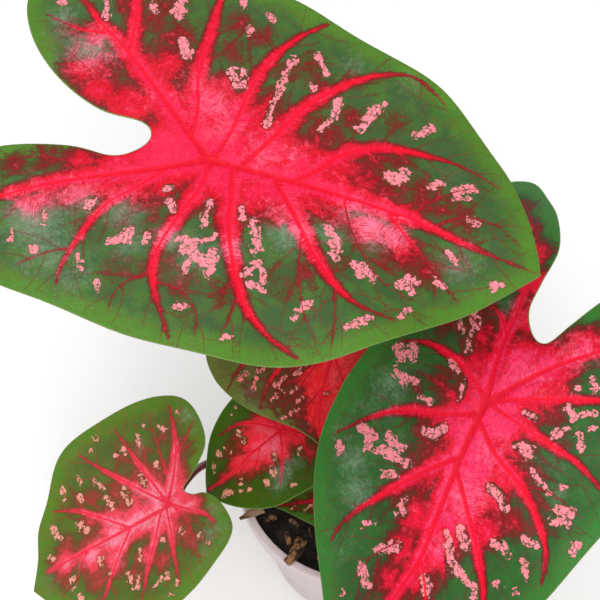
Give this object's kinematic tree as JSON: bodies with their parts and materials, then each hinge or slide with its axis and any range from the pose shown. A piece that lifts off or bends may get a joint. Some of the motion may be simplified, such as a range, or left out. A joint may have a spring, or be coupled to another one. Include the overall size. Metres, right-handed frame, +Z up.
{
  "type": "potted caladium",
  "caption": "Young caladium with red centred, pink flecked heart shaped leaves on dark stalks, rooted in soil in a pale round nursery pot.",
  "frame": {"origin": "centre of the pot's flat foot", "axes": "+Z up, the picture's camera stands on the -Y side and looks down on the plant, +X to its right"},
  "size_m": [0.2798, 0.2584, 0.2674],
  "materials": {
    "pot": "smooth moulded, soft sheen",
    "soil": "dark crumbly peat with bark bits",
    "tuber": "rough brown skin",
    "leaf": "satin leaf, red centre, green margin, pink flecks",
    "stalk": "glossy dark maroon",
    "sheath": "dry papery"
  },
  "bodies": {
    "root": {"pot": "pot", "soil": "soil", "tuber": "tuber", "blade_a": "leaf", "blade_b": "leaf", "blade_c": "leaf", "blade_d": "leaf", "blade_e": "leaf", "blade_f": "leaf", "stalk_a": "stalk", "stalk_b": "stalk", "stalk_c": "stalk", "stalk_d": "stalk", "stalk_e": "stalk", "stalk_f": "stalk", "dry_sheath": "sheath"}
  },
  "joints": []
}
